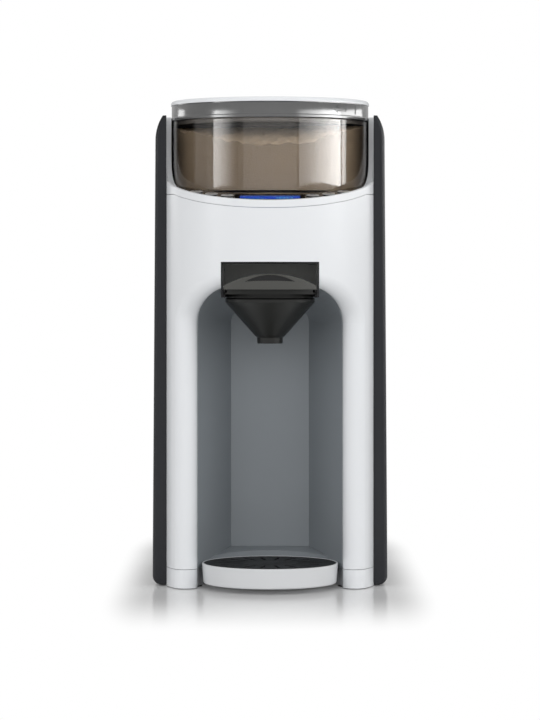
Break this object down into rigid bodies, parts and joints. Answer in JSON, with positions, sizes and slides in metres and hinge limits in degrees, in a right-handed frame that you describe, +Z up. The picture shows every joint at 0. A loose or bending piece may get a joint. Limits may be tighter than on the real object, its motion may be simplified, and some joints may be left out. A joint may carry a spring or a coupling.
{
  "type": "baby formula maker",
  "caption": "Countertop baby formula maker: powder container over a bottle niche with a slide-out funnel and drip tray, control deck with display and keys, and a lift-off rear water tank.",
  "frame": {"origin": "Centre of the footprint on the surface it stands on: left-right middle, middle of the depth, bottom of the feet.", "axes": "+X to the right seen from the front, +Y backwards (the front with the bottle niche faces -Y), +Z up."},
  "size_m": [0.1768, 0.3113, 0.3665],
  "materials": {
    "white_gloss": "glossy moulded ABS",
    "charcoal": "satin charcoal",
    "black": "black",
    "grey": "satin grey",
    "silver_deck": "glossy silver",
    "silver_band": "satin",
    "black_glass": "black glass over a blue display",
    "smoke": "smoke tinted clear",
    "smoke_dark": "dark smoke",
    "rubber": "matte",
    "seal": "silicone",
    "board": "circuit board",
    "steel": "machined",
    "drive_grey": "moulded acetal"
  },
  "bodies": {
    "housing": {"base_pan": "white_gloss", "control_board": "board", "control_deck": "silver_deck", "display_module": "black_glass", "display_window": "black_glass", "foot_1": "rubber", "foot_2": "rubber", "foot_3": "rubber", "foot_4": "rubber", "front_shell": "white_gloss", "funnel_rail_left": "black", "funnel_rail_right": "black", "gearbox": "drive_grey", "heater": "steel", "hose_inlet": "black", "hose_outlet": "black", "hose_pump": "black", "main_board": "board", "motor": "steel", "niche_floor": "grey", "niche_liner": "grey", "pocket_liner": "black", "powder_chute": "black", "powder_well": "black", "power_gland": "black", "pump": "black", "rear_housing": "white_gloss", "side_panel_left": "charcoal", "side_panel_right": "charcoal", "tank_dock": "white_gloss", "top_housing": "white_gloss", "water_nozzle": "steel"},
    "drive": {"drive_dog": "drive_grey"},
    "powder_container": {"tub": "smoke", "outlet_shield": "drive_grey"},
    "stirring_wheel": {"stirrer": "drive_grey", "dosing_plate": "drive_grey"},
    "lid_seal": {"lid_gasket": "seal"},
    "lid": {"lid_band": "silver_band", "lid_cap": "white_gloss"},
    "funnel_unit": {"funnel": "smoke_dark", "funnel_cover": "black"},
    "drip_tray": {"tray_pan": "white_gloss"},
    "drip_grid": {"tray_grid": "black"},
    "water_tank_unit": {"water_tank": "smoke", "tank_valve": "drive_grey", "tank_lid_pin": "steel"},
    "tank_lid_unit": {"tank_lid": "smoke"},
    "key_1": {"button_1": "silver_deck"},
    "key_2": {"button_2": "silver_deck"},
    "key_3": {"button_3": "silver_deck"},
    "key_4": {"button_4": "silver_deck"},
    "key_5": {"button_5": "silver_deck"},
    "key_6": {"button_6": "silver_deck"}
  },
  "joints": [
    {"name": "container_lift", "type": "slide", "parent": "housing", "child": "powder_container", "axis": [0, 0, 1], "range_m": [0, 0.09]},
    {"name": "drive_turn", "type": "hinge", "parent": "housing", "child": "drive", "pos_m": [0, -0.049, 0.285], "axis": [0, 0, 1], "continuous": true},
    {"name": "stirrer_turn", "type": "hinge", "parent": "powder_container", "child": "stirring_wheel", "pos_m": [0, -0.049, 0.29], "axis": [0, 0, 1], "continuous": true},
    {"name": "lid_lift", "type": "slide", "parent": "powder_container", "child": "lid_seal", "axis": [0, 0, 1], "range_m": [0, 0.06]},
    {"name": "lid_turn", "type": "hinge", "parent": "lid_seal", "child": "lid", "pos_m": [0, -0.049, 0.36], "axis": [0, 0, 1], "range_deg": [0, 30]},
    {"name": "funnel_slide", "type": "slide", "parent": "housing", "child": "funnel_unit", "axis": [0, -1, 0], "range_m": [0, 0.1]},
    {"name": "tray_slide", "type": "slide", "parent": "housing", "child": "drip_tray", "axis": [0, -1, 0], "range_m": [0, 0.12]},
    {"name": "grid_lift", "type": "slide", "parent": "drip_tray", "child": "drip_grid", "axis": [0, 0, 1], "range_m": [0, 0.03]},
    {"name": "tank_lift", "type": "slide", "parent": "housing", "child": "water_tank_unit", "axis": [0, 0, 1], "range_m": [0, 0.08]},
    {"name": "tank_lid_turn", "type": "hinge", "parent": "water_tank_unit", "child": "tank_lid_unit", "pos_m": [0, 0.075, 0.3368], "axis": [1, 0, 0], "range_deg": [0, 80]},
    {"name": "key_1_press", "type": "slide", "parent": "housing", "child": "key_1", "axis": [0, 0.1668, -0.986], "range_m": [0, 0.0012], "stiffness_N_per_m": 600, "springref_m": -0.0006},
    {"name": "key_2_press", "type": "slide", "parent": "housing", "child": "key_2", "axis": [0, 0.1668, -0.986], "range_m": [0, 0.0012], "stiffness_N_per_m": 600, "springref_m": -0.0006},
    {"name": "key_3_press", "type": "slide", "parent": "housing", "child": "key_3", "axis": [0, 0.1668, -0.986], "range_m": [0, 0.0012], "stiffness_N_per_m": 600, "springref_m": -0.0006},
    {"name": "key_4_press", "type": "slide", "parent": "housing", "child": "key_4", "axis": [0, 0.1668, -0.986], "range_m": [0, 0.0012], "stiffness_N_per_m": 600, "springref_m": -0.0006},
    {"name": "key_5_press", "type": "slide", "parent": "housing", "child": "key_5", "axis": [0, 0.1668, -0.986], "range_m": [0, 0.0012], "stiffness_N_per_m": 600, "springref_m": -0.0006},
    {"name": "key_6_press", "type": "slide", "parent": "housing", "child": "key_6", "axis": [0, 0.1668, -0.986], "range_m": [0, 0.0012], "stiffness_N_per_m": 600, "springref_m": -0.0006}
  ],
  "couplings": [
    {"joint": "drive_turn", "follows": "stirrer_turn", "ratio": 1}
  ]
}
